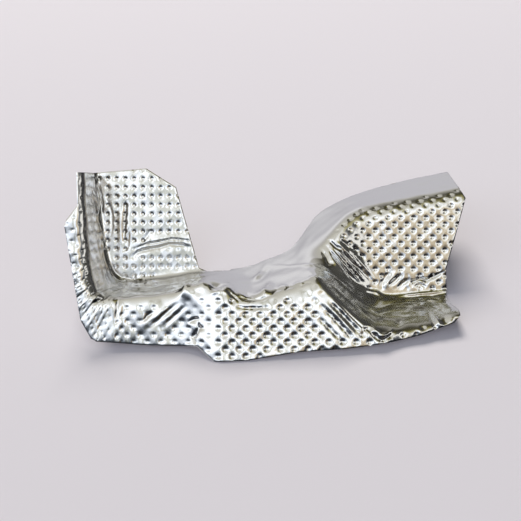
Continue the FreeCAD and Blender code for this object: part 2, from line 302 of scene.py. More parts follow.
# Trim line, seen along the press
trim = [(144.5, CREST_B + 60), (144.7, CREST_B + 9.5), (148, CREST_B + 3), (139.7, 14.7), (133.6, -6),
        (134, FOOT_B + 4.5), (133, FOOT_B - 3), (136.4, FOOT_B - 6.5), (136.4, FOOT_B - 11),
        (131.9, HEM_FACE + 24.6), (107, HEM_FACE + 16.3), (90, HEM_FACE + 12.6), (73, HEM_FACE + 10),
        (56, HEM_FACE + 8), (26, HEM_FACE + 6.2), (8, HEM_FACE + 3.4), (-10, HEM_FACE + 0.6), (-31, HEM_FACE),
        (-42.5, HEM_LEFT - 0.5), (-74, HEM_LEFT), (-110, HEM_LEFT + 2.5), (-114, HEM_LEFT + 4.5),
        (-121, HEM_LEFT + 17), (-131.8, 23), (-130.5, 27.2), (WALL_A - 4.5, 37.2),
        (WALL_A - 5.5, PANEL_TOP - 2), (-84.5, PANEL_TOP + 1.5), (-62.3, PANEL_TOP - 12.5),
        (-45.3, REAR_B), (-39.5, REAR_B - 2.2), (-22, REAR_B - 1.7), (-22, CREST_B + 60)]


def within(p, loop):
    # Distance to a closed line in the press plane, above zero inside it.
    a, b = p[:, 0], p[:, 1]
    inside = np.zeros(len(p), bool)
    nearest = np.full(len(p), 1e9)
    for (a0, b0), (a1, b1) in zip(loop, loop[1:] + loop[:1]):
        share = np.clip(((a - a0) * (a1 - a0) + (b - b0) * (b1 - b0)) / ((a1 - a0) ** 2 + (b1 - b0) ** 2), 0, 1)
        nearest = np.minimum(nearest, np.hypot(a - a0 - share * (a1 - a0), b - b0 - share * (b1 - b0)))
        if b0 != b1:
            inside ^= ((b0 > b) != (b1 > b)) & (a < a0 + (a1 - a0) * (b - b0) / (b1 - b0))
    return np.where(inside, nearest, -nearest)


def kept(p):
    # Above zero on the sheet that stays: inside the trim line and under the falling top of the side wall.
    fall = PANEL_TOP - 2 - WALL_FALL * (p[:, 2] - 2) / (RIM - 6) - p[:, 1]
    wall = np.maximum(np.maximum(2.0 - p[:, 2], fall), p[:, 0] - (WALL_A + 14.0))
    return np.minimum(within(p, trim), wall)


# Dimples: a square lattice on each field, upright on the left panel and turned by 45 degrees elsewhere
fields = [
    # origin in the blank, turn, rows of the net from and to, stations from and to, width, depth
    ((4.3, -4.6), 0.0, 11.9, 14.0, 0.0, 13.2, 3.8, 0.50),
    ((-0.5, -35.9 - BLANK_DROP), 45.0, 0.0, 2.3, 12.6, 27.0, 5.4, 0.85),
    ((2.1, -3.9 - BLANK_DROP), 45.0, 0.0, 2.2, 5.2, 12.4, 4.6, 0.42),
    ((2.1, -3.9), 45.0, 0.0, 2.8, 0.0, 5.0, 3.2, 0.20),
    ((-0.7, -6.1 - POCKET_DROP), 45.0, 6.0, 8.7, 20.4, 27.0, 4.4, 0.56),
]
centres, deep = [], []
for (x0, y0), turned, v0, v1, u0, u1, width, depth in fields:
    turn = math.radians(turned)
    n = np.arange(-60, 61)
    i, j = (k.ravel() for k in np.meshgrid(n, n))
    points = np.stack([x0 + PITCH * (i * math.cos(turn) - j * math.sin(turn)),
                       y0 + PITCH * (i * math.sin(turn) + j * math.cos(turn))], -1)
    gu, gv = (k.ravel() for k in np.meshgrid(np.linspace(u0, u1, 60), np.linspace(v0, v1, 30)))
    known = laid_on(blank, gu, gv)
    here = (points >= known.min(0) - 1).all(-1) & (points <= known.max(0) + 1).all(-1)
    points = points[here]
    near = np.array([np.argmin(((known - q) ** 2).sum(-1)) for q in points])
    u, v = place_of(points, gu[near], gv[near])
    fit = np.linalg.norm(laid_on(blank, u, v) - points, axis=-1) < 0.05
    fit &= (v >= v0) & (v <= v1) & (u >= u0) & (u <= u1)
    fit &= kept(laid_on(net, u, v)) > 0.2
    centres.append(np.column_stack([points, u, v])[fit])
    deep.append(np.tile([width / 2, depth], (fit.sum(), 1)))
centres = np.concatenate(centres)
deep = np.concatenate(deep)

# Where the press stretched the sheet the dimples are drawn almost flat: zones as they show from the front,
# in picture points from the upper left. EYE is how far the camera stands over the press plane, FOCAL its focal
# length in picture points.
EYE = 772.0
FOCAL = 1047.0
MIDDLE = 260.5
POINT = EYE / FOCAL
FLATTENED = 0.3


def seen_at(p):
    return p[:, :2] * (EYE / (EYE - p[:, 2:]))


def shown(x, y):
    return np.array([(x - MIDDLE) * POINT, (MIDDLE - y) * POINT])


stretched = [
    [(318, 297), (333, 299), (364, 332), (352, 343), (331, 338), (316, 314)],
    [(322, 236), (346, 238), (366, 262), (376, 286), (352, 286), (322, 254)],
    [(378, 291), (390, 268), (416, 274), (408, 293)],
    [(186, 297), (197, 306), (166, 333), (141, 333), (145, 318), (166, 304)],
    [(127, 263), (127, 251), (148, 237), (195, 236), (196, 251), (150, 254)],
    [(232, 296), (280, 290), (280, 300), (268, 310), (236, 310)],
    [(284, 278), (326, 280), (338, 300), (318, 306), (290, 297)],
]
spots = seen_at(laid_on(net, centres[:, 2], centres[:, 3]))
for zone in stretched:
    deep[:, 1] *= np.where(within(spots, [tuple(shown(*q)) for q in zone]) > 0, FLATTENED, 1.0)

# Each dimple is a round dip drawn by rings of points: share of its half width, count, turn
cloud, dips = [], []
RINGS = ((0.0, 1, 0.0), (0.36, 6, 0.0), (0.68, 9, 0.4), (1.0, 12, 0.1))
for share, count, twist in RINGS:
    for k in range(count):
        way = 2 * math.pi * k / count + twist
        spots = centres[:, :2] + np.array([math.cos(way), math.sin(way)]) * (share * deep[:, :1])
        cloud.append(np.column_stack([spots, *place_of(spots, centres[:, 2], centres[:, 3])]))
        dips.append(deep[:, 1] * (1 - share * share) ** 1.5)


def turning(steps):
    # How far a line turns at each of its steps.
    bend = np.zeros(steps.shape[:-1])
    bend[1:] = np.arccos(np.clip((unit(steps[1:]) * unit(steps[:-1])).sum(-1), -1, 1))
    return bend


def clear_of_dimples(spots, margin):
    away = ((spots[:, None, :] - centres[None, :, :2]) ** 2).sum(-1)
    return (away > (deep[:, 0] + margin) ** 2).all(1)


# Points between the dimples: close together across bends, further apart on flats
SPACING = 2.3
TURN = 0.20
fine_u = np.linspace(0, U_END, 2701)
rows = np.linspace(0, V_END, 29)
lines = np.stack([laid_on(net, fine_u, np.full_like(fine_u, v)) for v in rows], 1)
steps = np.diff(lines, axis=0)
load = np.linalg.norm(steps, axis=-1) / SPACING + turning(steps) / TURN
load = np.cumsum(np.sort(load, axis=1)[:, -8:].mean(1))
marks = np.searchsorted(load, np.arange(0, load[-1], 1.0))
fine_v = np.linspace(0, V_END, 1401)
for k, m in enumerate(marks):
    steps = np.diff(laid_on(net, np.full_like(fine_v, fine_u[m]), fine_v), axis=0)
    load_v = np.cumsum(np.linalg.norm(steps, axis=-1) / SPACING + turning(steps) / TURN)
    at = np.searchsorted(load_v, np.arange(0.5 * (k % 2), load_v[-1], 1.0))
    u, v = np.full(len(at), fine_u[m]), fine_v[at]
    spots = laid_on(blank, u, v)
    clear = clear_of_dimples(spots, 0.5)
    cloud.append(np.column_stack([spots, u, v])[clear])
    dips.append(np.zeros(clear.sum()))

# Creases and wrinkles left by the press and by handling: width and height in mm, then the line as it shows
# from the front, in picture points. Below zero is a groove, above zero a ridge.
creases = [
    # left panel: upright grooves, and the fold across it above its foot
    (0.9, -0.35, [(104, 195), (109, 203), (112, 215), (112, 228), (110, 240)]),
    (1.2, -0.55, [(126, 199), (125, 214), (124, 228), (124, 243)]),
    (1.4, 0.25, [(121, 203), (120, 226), (121, 250)]),
    (1.0, -0.3, [(129, 227), (128, 240), (127, 251)]),
    (1.2, -0.8, [(129, 259), (138, 252), (150, 249), (160, 247), (170, 244), (181, 245), (193, 248)]),
    (0.9, -0.55, [(134, 249), (146, 244), (158, 242), (172, 239), (184, 240), (193, 242)]),
    (0.8, 0.3, [(146, 247), (158, 245), (170, 242), (186, 242)]),
    (3.0, 0.6, [(136, 246), (150, 241), (168, 239), (180, 239), (192, 240)]),
    (1.3, -0.4, [(141, 243), (147, 236), (150, 229)]),
    # corner between panel and side wall
    (1.1, 1.0, [(91, 183), (95, 200), (99, 217)]),
    (0.8, -0.8, [(90, 181), (93, 200), (97, 218)]),
    (0.9, -0.9, [(98, 184), (101, 200), (102, 214)]),
    (1.1, 0.8, [(100, 222), (101, 240), (104, 258)]),
    (0.8, -0.9, [(88, 297), (98, 291), (107, 288)]),
    (1.0, -1.1, [(92, 305), (101, 299), (110, 294)]),
    (1.2, 0.6, [(90, 301), (100, 295), (108, 291)]),
    (1.2, -0.9, [(110, 262), (115, 272), (121, 277), (132, 279), (142, 281), (150, 283)]),
    # shelf and left skirt
    (1.4, -0.6, [(106, 298), (130, 296), (150, 294), (181, 290)]),
    (1.0, -1.0, [(118, 299), (117, 308), (116, 320)]),
    (1.2, 0.5, [(121, 301), (120, 318)]),
    (1.4, -0.45, [(178, 302), (168, 311), (158, 320), (148, 329)]),
    (1.4, -0.45, [(187, 305), (178, 313), (170, 320), (163, 328)]),
    (1.2, -1.0, [(153, 311), (147, 317), (143, 322)]),
    (1.7, 0.5, [(172, 304), (162, 312), (151, 322)]),
    (1.7, 0.5, [(183, 304), (172, 314), (162, 323)]),
    (1.2, -1.2, [(195, 345), (193, 337), (199, 328), (196, 320)]),
    (1.2, -0.8, [(188, 323), (194, 319), (200, 319)]),
    (1.0, 1.0, [(118, 285), (135, 288), (155, 288), (186, 282)]),
    (0.9, -1.0, [(122, 291), (145, 292), (165, 290), (184, 287)]),
    (0.9, -0.8, [(140, 284), (160, 284), (182, 279), (198, 275)]),
    # brow of the saddle
    (0.9, -0.7, [(236, 297), (250, 300), (262, 299), (270, 296), (276, 292)]),
    (1.1, -0.8, [(236, 306), (245, 308), (258, 308), (270, 307)]),
    (1.0, -0.8, [(226, 290), (233, 296), (240, 302)]),
    (1.0, -0.7, [(232, 288), (241, 293), (250, 296)]),
    (2.0, 1.4, [(262, 295), (267, 289), (272, 283)]),
    (1.6, 0.5, [(251, 280), (258, 276), (263, 270), (268, 262)]),
    (1.4, -0.4, [(249, 284), (259, 281), (266, 274), (271, 266)]),
    (0.9, 0.6, [(270, 266), (290, 266), (304, 265), (312, 265), (319, 269)]),
    (1.6, 0.6, [(220, 289), (231, 282), (250, 280)]),
    # wrinkles beside the diagonal ridge
    (1.0, -0.8, [(319, 303), (332, 316), (344, 329), (354, 341)]),
    (1.0, 0.5, [(324, 302), (337, 315), (349, 328), (358, 338)]),
    (0.9, -0.8, [(328, 300), (341, 313), (352, 325), (361, 335)]),
    (0.9, 0.5, [(332, 300), (345, 312), (356, 323), (364, 332)]),
    (0.8, -0.7, [(337, 302), (349, 314), (359, 324), (367, 331)]),
    (1.1, -0.7, [(318, 317), (328, 327), (338, 337), (345, 344)]),
    (0.9, 0.8, [(350, 292), (360, 299), (366, 304), (378, 309)]),
    (1.6, 1.0, [(352, 283), (366, 291), (376, 293), (383, 298), (392, 298), (402, 296)]),
    # wrinkled left end of the right panel
    (1.2, -1.2, [(328, 239), (336, 247), (341, 251)]),
    (1.2, -1.2, [(341, 239), (347, 245), (350, 250)]),
    (1.0, -1.2, [(342, 252), (349, 259), (353, 264), (358, 269)]),
    (0.9, -0.9, [(330, 252), (340, 263), (349, 274), (355, 281)]),
    (0.9, -0.8, [(333, 249), (345, 263), (356, 275), (362, 282)]),
    (1.0, 0.8, [(329, 247), (338, 256), (350, 270), (360, 282)]),
    (2.2, -0.9, [(351, 244), (359, 253), (366, 262)]),
    (1.3, -1.3, [(320, 248), (326, 256), (329, 263), (335, 264)]),
    (1.0, 0.7, [(336, 241), (345, 250), (356, 263), (364, 274)]),
    # fan of wrinkles at the foot of the right panel
    (1.7, -0.7, [(381, 287), (385, 278), (391, 271)]),
    (1.7, -0.7, [(388, 286), (396, 280), (403, 273)]),
    (1.7, -0.7, [(397, 289), (405, 282), (411, 278)]),
    (1.9, 0.6, [(384, 288), (391, 279), (398, 271)]),
    (1.1, -1.1, [(411, 288), (413, 282), (420, 279), (427, 280), (434, 277), (441, 273), (446, 271)]),
    (1.1, -0.8, [(414, 287), (420, 284), (427, 287)]),
    # floor of the right bay and the tongue
    (1.6, -0.8, [(403, 297), (410, 300), (420, 300), (430, 297), (440, 299), (449, 302)]),
    (1.6, 0.8, [(406, 310), (416, 307), (428, 305)]),
    (1.2, 1.2, [(431, 311), (436, 319), (442, 327)]),
    (1.3, -1.3, [(428, 312), (432, 320), (437, 328)]),
    (1.1, -1.2, [(365, 325), (372, 333), (378, 339), (384, 340), (391, 336), (395, 329)]),
    (1.2, 0.8, [(371, 326), (380, 335), (388, 335), (393, 329)]),
    # soft streaks of the saddle top
    (2.6, 0.45, [(214, 268), (235, 270), (256, 266), (276, 258), (296, 251)]),
    (2.2, -0.42, [(222, 276), (240, 277), (258, 273), (280, 268), (306, 262)]),
    (2.4, 0.45, [(262, 282), (280, 276), (300, 272), (322, 272)]),
    (1.9, -0.4, [(268, 262), (280, 251), (288, 240)]),
    (1.8, 0.4, [(296, 256), (304, 246), (312, 236)]),
    # wrinkles round the knob
    (1.5, 1.0, [(182, 297), (190, 284), (203, 280), (214, 277)]),
    (1.2, -0.9, [(178, 293), (186, 282), (198, 277), (212, 273)]),
    (1.4, 0.9, [(210, 294), (220, 291), (230, 294)]),
    (1.2, 0.7, [(222, 282), (230, 286), (238, 291)]),
    # crumpled brow: the dent at its left end, then short wrinkles to the right
    (2.4, -2.2, [(209, 287), (216, 286), (224, 288)]),
    (1.0, 0.7, [(224, 288), (229, 291), (233, 294)]),
    (1.0, 0.7, [(236, 290), (241, 295), (246, 297)]),
    (0.9, -0.5, [(244, 291), (250, 296), (257, 297)]),
    (0.9, -0.6, [(272, 294), (277, 290), (283, 289)]),
    (0.9, 0.6, [(278, 288), (283, 286), (288, 287)]),
    (0.8, -0.5, [(284, 291), (289, 287), (295, 287)]),
    (0.9, 0.5, [(292, 286), (298, 283), (304, 284)]),
    (0.8, -0.6, [(300, 287), (306, 283), (312, 283)]),
    (0.9, 0.5, [(308, 278), (314, 277), (319, 279)]),
    (1.1, 0.8, [(253, 280), (258, 276), (262, 271)]),
    # streaks down the flank of the ridge
    (1.0, 1.0, [(322, 267), (334, 277), (346, 288), (358, 298), (368, 304)]),
    (0.9, -0.8, [(328, 270), (342, 281), (356, 292), (370, 300)]),
    (0.9, 0.8, [(330, 283), (341, 294), (352, 304), (362, 311)]),
    # long streaks at the left end of the right panel
    (0.9, -0.8, [(325, 244), (334, 256), (345, 270), (354, 282)]),
    (0.9, 0.7, [(331, 243), (342, 255), (354, 269), (366, 283)]),
    (0.9, -0.8, [(337, 244), (349, 257), (361, 270), (371, 281)]),
    (0.9, 0.6, [(345, 244), (357, 258), (369, 272), (377, 284)]),
    # edge along the foot of the panel, and streaks of the floor
    (1.0, 0.9, [(396, 297), (408, 295), (428, 293), (449, 291)]),
    (1.0, 0.8, [(378, 309), (396, 304), (420, 303), (446, 304)]),
    (1.0, -0.8, [(374, 314), (394, 309), (418, 309), (444, 309)]),
    (1.2, 0.7, [(366, 309), (380, 317), (398, 319), (424, 315)]),
    (1.0, -0.8, [(352, 300), (364, 312), (376, 320), (390, 324)]),
]
# Round bumps and dents: half width and height in mm, and the place
bumps = [(2.4, -0.6, (197, 292)),
         (2.2, -1.2, (366, 330)), (2.0, -1.0, (399, 323)), (2.2, -0.9, (445, 321)), (2.0, -0.9, (104, 293))]

# Humps and dents of the brow: place in the press frame, half width and height
humps = [((-49.5, -19.5, 68.0), 6.5, 3.2), ((-39.0, -17.5, 70.0), 4.0, 2.2), ((-30.0, -14.5, 62.0), 5.0, -3.0),
         ((2.0, -22.0, 70.0), 5.0, 1.6), ((-22.0, -19.5, 70.0), 4.0, 1.4)]


def pressed(spots):
    # How far wrinkles lift the sheet at places seen from the front.
    lift = np.zeros(len(spots))
    for width, height, line in creases:
        line = [shown(*q) for q in line]
        sizes = [np.linalg.norm(q - r) for q, r in zip(line, line[1:])]
        best = np.full(len(spots), 1e9)
        along = np.zeros(len(spots))
        run = 0.0
        for q, r, size in zip(line, line[1:], sizes):
            t = np.clip((spots - q) @ (r - q) / size ** 2, 0, 1)
            d = np.linalg.norm(spots - q - t[:, None] * (r - q), axis=-1)
            along = np.where(d < best, run + t * size, along)
            best = np.minimum(best, d)
            run += size
        fade = np.clip(np.minimum(along, run - along) / (0.3 * run), 0, 1) ** 0.8
        lift += height * fade * np.exp(-(best / width) ** 2)
    for width, height, spot in bumps:
        lift += height * np.exp(-(np.linalg.norm(spots - shown(*spot), axis=-1) / width) ** 2)
    return lift


def strung(line, step, width, shares):
    # Points along a line and beside it, at these shares of the width.
    out = []
    for q, r in zip(line, line[1:]):
        size = np.linalg.norm(r - q)
        across = np.array([q[1] - r[1], r[0] - q[0]]) / size
        count = max(1, round(size / step))
        for k in range(count):
            mid = q + (r - q) * k / count
            out += [mid + across * width * f for f in shares]
    return out


# A first look-up of the sheet, even over the net
gu, gv = (k.ravel() for k in np.meshgrid(np.linspace(0, U_END, 217), np.linspace(0, V_END, 99)))
known = laid_on(net, gu, gv)


def found(spots, seen):
    # Where places in a view of the net lie on it; the view is a function of its points.
    known_seen = seen(known)
    near = np.array([np.argmin(((known_seen - q) ** 2).sum(-1) - 0.01 * known[:, 2]) for q in spots])
    u, v = gu[near], gv[near]
    step = 1e-3
    for again in range(8):
        at = seen(laid_on(net, u, v))
        du = (seen(laid_on(net, u + step, v)) - at) / step
        dv = (seen(laid_on(net, u, v + step)) - at) / step
        u, v = moved(u, v, spots - at, du, dv, 0.3, 1e-6, 0.002)
    hit = np.linalg.norm(seen(laid_on(net, u, v)) - spots, axis=-1) < 0.15
    return u[hit], v[hit]


# Points along each crease and the trim line, so that flanks and edge are drawn finely.
# The cut edge is rolled back a little, over the width EDGE.
CREASE_STEP = 1.3
EDGE = 0.9
EDGE_ROLL = 0.4
EDGE_STEP = 1.1
spots = []
for width, height, line in creases:
    spots += strung([shown(*q) for q in line], CREASE_STEP, width, (-2.1, -1.3, -0.65, 0.0, 0.65, 1.3, 2.1))
trim_line = [np.array(q) for q in trim + trim[:1]]
edge_spots = strung(trim_line, EDGE_STEP, EDGE, (-1.0, -0.5, 0.0, 0.5, 1.0))
places = [found(np.array(spots), seen_at), found(np.array(edge_spots), lambda p: p[:, :2])]
u, v = (np.concatenate([p[k] for p in places]) for k in (0, 1))
spots = laid_on(blank, u, v)
clear = clear_of_dimples(spots, 0.25)
cloud.append(np.column_stack([spots, u, v])[clear])
dips.append(np.zeros(clear.sum()))


def ease(t, low, high):
    # From 0 at low to 1 at high, without a kink.
    s = np.clip((t - low) / (high - low), 0, 1)
    return s * s * (3 - 2 * s)


# Points closer than this are one point
MERGE = 0.35
cloud = np.concatenate(cloud)
dips = np.concatenate(dips)
_, keep = np.unique(np.round(cloud[:, :2] / MERGE).astype(int), axis=0, return_index=True)
cloud, dips = cloud[keep], dips[keep]
u, v = cloud[:, 2], cloud[:, 3]
surface = laid_on(net, u, v)
du, dv = slopes(net, u, v)
out = unit(np.cross(du, dv))
out *= np.sign(np.median(out[:, 2]))
# Slow waves of a thin sheet that has been handled: height in mm, turn per mm of the blank across and along,
# start. The saddle, the flange and the panels lie calmer.
WAVES = ((0.16, 0.21, 0.09, 1.0), (0.14, 0.07, -0.24, 2.0), (0.10, 0.38, 0.31, 0.0), (0.08, -0.36, 0.45, 0.7))
x, y = cloud[:, 0], cloud[:, 1]
sway = sum(size * np.sin(across * x + along * y + start) for size, across, along, start in WAVES)
pocket = ease(u, 19.0, 20.5) * ease(v, 4.5, 6.0) * (1 - ease(v, 8.4, 9.4))
sway *= 1 - 0.5 * ease(v, 2.2, 4.0) * ease(u, 12.0, 14.0) * (1 - pocket)
sway *= 1 - 0.5 * pocket - 0.6 * ease(v, 11.0, 12.0) * (1 - ease(u, 12.0, 14.0))
lift = pressed(seen_at(surface)) + sway - dips
for spot, width, height in humps:
    lift += height * np.exp(-((surface - np.array(spot)) ** 2).sum(-1) / width ** 2)
lift -= EDGE_ROLL * np.clip(1 - within(surface, trim) / EDGE, 0, 1.5) ** 2
surface = surface + out * lift[:, None]

# The sheet as triangles, joined up in the flat blank; the few that bridge its gaps are dropped
LONGEST = 14.0
made = delaunay_2d_cdt([Vector(p[:2]) for p in cloud.tolist()], [], [], 0, 1e-6)
faces = np.array(made[2])
surface = surface[np.array([k[0] for k in made[3]])]
pts = surface[faces]
span = np.linalg.norm(pts - np.roll(pts, 1, axis=1), axis=-1).max(1)
faces = faces[span < LONGEST]

# Trim: triangles across the line are cut along it
side = kept(surface)
side = np.where(abs(side) < 0.05, 0.0, side)
points = surface.tolist()
cut = {}


def crossing(i, j):
    key = (min(i, j), max(i, j))
    if key not in cut:
        t = side[key[0]] / (side[key[0]] - side[key[1]])
        cut[key] = len(points)
        points.append((surface[key[0]] * (1 - t) + surface[key[1]] * t).tolist())
    return cut[key]


sheet_faces = []
for tri in faces.tolist():
    s = side[tri]
    if (s <= 0).all():
        continue
    if (s >= 0).all():
        sheet_faces.append(tri)
        continue
    loop = []
    for k in range(3):
        i, j = tri[k], tri[(k + 1) % 3]
        if side[i] >= 0:
            loop.append(i)
        if side[i] * side[j] < 0:
            loop.append(crossing(i, j))
    sheet_faces += [[loop[0], loop[k], loop[k + 1]] for k in range(1, len(loop) - 1)]
points = np.array(points)
sheet_faces = np.array(sheet_faces)

# Thickness: a rear skin set back along the normals, and a rim between the two
used, sheet_faces = np.unique(sheet_faces, return_inverse=True)
sheet_faces = sheet_faces.reshape(-1, 3)
points = points[used]
first, second, third = (points[sheet_faces[:, k]] for k in range(3))
normal = np.cross(second - first, third - first)
if np.median(normal[:, 2]) < 0:
    sheet_faces = sheet_faces[:, ::-1]
    normal = -normal
normals = np.zeros_like(points)
for k in range(3):
    np.add.at(normals, sheet_faces[:, k], normal)
normals = unit(normals)
rear = points - normals * SHEET
edges = np.concatenate([sheet_faces[:, [0, 1]], sheet_faces[:, [1, 2]], sheet_faces[:, [2, 0]]])
key = np.sort(edges, axis=1)
_, first, count = np.unique(key, axis=0, return_index=True, return_counts=True)
rim_edges = edges[first[count == 1]]
n = len(points)
everything = np.concatenate([points, rear, points, rear])
rim = [[i + 2 * n, i + 3 * n, j + 3 * n, j + 2 * n] for i, j in rim_edges.tolist()]
polygons = sheet_faces.tolist() + (sheet_faces[:, ::-1] + n).tolist() + rim


# From the press plane's origin to the middle of the footprint on the table
SHIFT = (-8.695, 17.632, 10.957)
MM = 0.001


def to_row(p):
    # From the press plane to the part as it lies: leaned back, rolled a little, set on the table.
    a, b, h = p[..., 0], p[..., 1], p[..., 2]
    y = b * math.sin(LEAN) - h * math.cos(LEAN)
    z = b * math.cos(LEAN) + h * math.sin(LEAN)
    x = a * math.cos(ROLL) + z * math.sin(ROLL)
    z = z * math.cos(ROLL) - a * math.sin(ROLL)
    return np.stack([x + SHIFT[0], y + SHIFT[1], z + SHIFT[2]], -1) * MM


placed = to_row(everything)
placed[:, 2] = np.maximum(placed[:, 2], 0.0)
mesh = bpy.data.meshes.new("heat_shield")
mesh.from_pydata(placed.tolist(), [], polygons)
# Painted shade: the steep walls of the left bay and the floor of the right one get a darker base colour
steep = 1 - ease(normals[:, 2], 0.25, 0.65)
bay = 0.55 * ease(-points[:, 0], 34, 44) + 0.45 * ease(-points[:, 0], 100, 112)
bay += 0.35 * ease(points[:, 0], 46, 60) * (1 - ease(points[:, 1], -6, 6))
painted_shade = mesh.attributes.new("painted_shade", "FLOAT", "POINT")
painted_shade.data.foreach_set("value", np.tile(steep * bay, 4))
mesh.polygons.foreach_set("use_smooth", [True] * (2 * len(sheet_faces)) + [False] * len(rim))
mesh.update()
shield = bpy.data.objects.new("heat_shield_visual", mesh)
bpy.context.scene.collection.objects.link(shield)


def linear(code):
    # From a hex colour as seen on screen to the light values that the shaders take.
    channels = [int(code[k:k + 2], 16) / 255 for k in (1, 3, 5)]
    return [c / 12.92 if c <= 0.04045 else ((c + 0.055) / 1.055) ** 2.4 for c in channels] + [1.0]


def node(tree, kind, links=(), **values):
    # Adds a node with its settings; each link is a socket and a value or another node's output.
    made = tree.nodes.new(kind)
    for name, value in values.items():
        setattr(made, name, value)
    for socket, source in links:
        if isinstance(source, bpy.types.NodeSocket):
            tree.links.new(source, made.inputs[socket])
        else:
            made.inputs[socket].default_value = source
    return made


# Embossed aluminium, bright rolled: it mirrors the room, softened a little by the rolling, so dimples and
# folds show as light and dark. The steep walls of the bays carry painted shade, a darker base colour.
metal = bpy.data.materials.new("embossed_aluminium")
metal.use_nodes = True
tree = metal.node_tree
shader = tree.nodes["Principled BSDF"]
shader.inputs["Metallic"].default_value = 1.0
# Painted shade: the darker grey is mixed in where the shade attribute is high
wall_shade = node(tree, "ShaderNodeAttribute", attribute_name="painted_shade")
tint = node(tree, "ShaderNodeMix", [(0, wall_shade.outputs["Fac"]), (6, linear("#DDDEDF")), (7, linear("#A3A1A0"))],
            data_type="RGBA")
tree.links.new(tint.outputs[2], shader.inputs["Base Color"])
shader.inputs["Roughness"].default_value = 0.16
mesh.materials.append(metal)
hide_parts("heat_shield")
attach(shield, "root")

# The table: a wide pale top that the part lies on loose, filling the picture.
# The metal doesn't mirror it, because the room below holds the table's tones by angle.
TABLE_HALF = 5.0
table_mesh = bpy.data.meshes.new("table")
corners = [(x * TABLE_HALF, y * TABLE_HALF, 0) for x, y in ((-1, -1), (1, -1), (1, 1), (-1, 1))]
table_mesh.from_pydata(corners, [], [(0, 1, 2, 3)])
table = bpy.data.objects.new("table", table_mesh)
bpy.context.scene.collection.objects.link(table)
# Matt pale lacquer: no gloss, a faintly rosy grey that takes soft shadows
lacquer = bpy.data.materials.new("matt_lacquer")
lacquer.use_nodes = True
lacquer_shader = lacquer.node_tree.nodes["Principled BSDF"]
lacquer_shader.inputs["Base Color"].default_value = linear("#E0DBDE")
lacquer_shader.inputs["Roughness"].default_value = 0.9
table_mesh.materials.append(lacquer)
table.visible_glossy = False

# The camera: a still camera over the middle of the press plane, square to it.
# Its distance and lens follow from how the pitch of the dimples changes over the fields.
LENS = 72.3
SENSOR = 36.0
camera_at = to_row(np.array([0.0, 0.0, EYE]))
axes = [unit(to_row(np.array(p)) - to_row(np.zeros(3))) for p in ((1.0, 0, 0), (0, 1.0, 0), (0, 0, 1.0))]
camera_data = bpy.data.cameras.new("camera")
camera_data.lens = LENS
camera_data.sensor_width = SENSOR
camera_data.clip_start = 0.01
camera = bpy.data.objects.new("camera", camera_data)
camera.matrix_world = Matrix([[axes[0][k], axes[1][k], axes[2][k], camera_at[k]] for k in range(3)]
                             + [[0, 0, 0, 1]])
bpy.context.scene.collection.objects.link(camera)
bpy.context.scene.camera = camera

# The key light: a warm white softbox high behind the part, which throws the soft shadow to the front.
# The metal doesn't mirror it: what the metal mirrors are the card and the room below.
# Azimuth 0 is the front, to the right above zero; sizes in metres, power in watts.
KEY_AZIMUTH = math.radians(-169.0)
KEY_ELEVATION = math.radians(48.0)
KEY_DISTANCE = 5.0
KEY_POWER = 208.0
AIM = Vector((0.0, -0.02, 0.04))
level = math.cos(KEY_ELEVATION)
away = Vector((math.sin(KEY_AZIMUTH) * level, -math.cos(KEY_AZIMUTH) * level, math.sin(KEY_ELEVATION)))
softbox = bpy.data.lights.new("key", "AREA")
softbox.shape = "RECTANGLE"
softbox.size, softbox.size_y = 2.2, 1.9
softbox.energy = KEY_POWER
softbox.color = linear("#FFFBF4")[:3]
lamp = bpy.data.objects.new("key", softbox)
lamp.rotation_mode = "QUATERNION"
lamp.rotation_quaternion = away.to_track_quat("Z", "Y")
lamp.location = AIM + away * KEY_DISTANCE
lamp.visible_glossy = False
bpy.context.scene.collection.objects.link(lamp)

# The card: a sheet of white card held up at the right, bright by its own glow in place of a lamp on it.
# Only the metal sees it. It gives the light streaks at the left end of the right panel.
CARD = [(0.345, -0.325, 0.19), (0.42, -0.03, 0.09), (0.42, -0.03, 0.19), (0.345, -0.325, 0.33)]
card_mesh = bpy.data.meshes.new("card")
card_mesh.from_pydata(CARD, [], [(0, 1, 2, 3)])
card = bpy.data.objects.new("card", card_mesh)
bpy.context.scene.collection.objects.link(card)
# White card, evenly lit: a plain warm white without shade
card_paper = bpy.data.materials.new("white_card")
card_paper.use_nodes = True
card_shader = card_paper.node_tree.nodes["Principled BSDF"]
card_shader.inputs["Base Color"].default_value = linear("#000000")
card_shader.inputs["Emission Color"].default_value = linear("#FFFCF4")
card_shader.inputs["Emission Strength"].default_value = 1.15
card_mesh.materials.append(card_paper)
card.visible_camera = False
card.visible_diffuse = False
card.visible_shadow = False

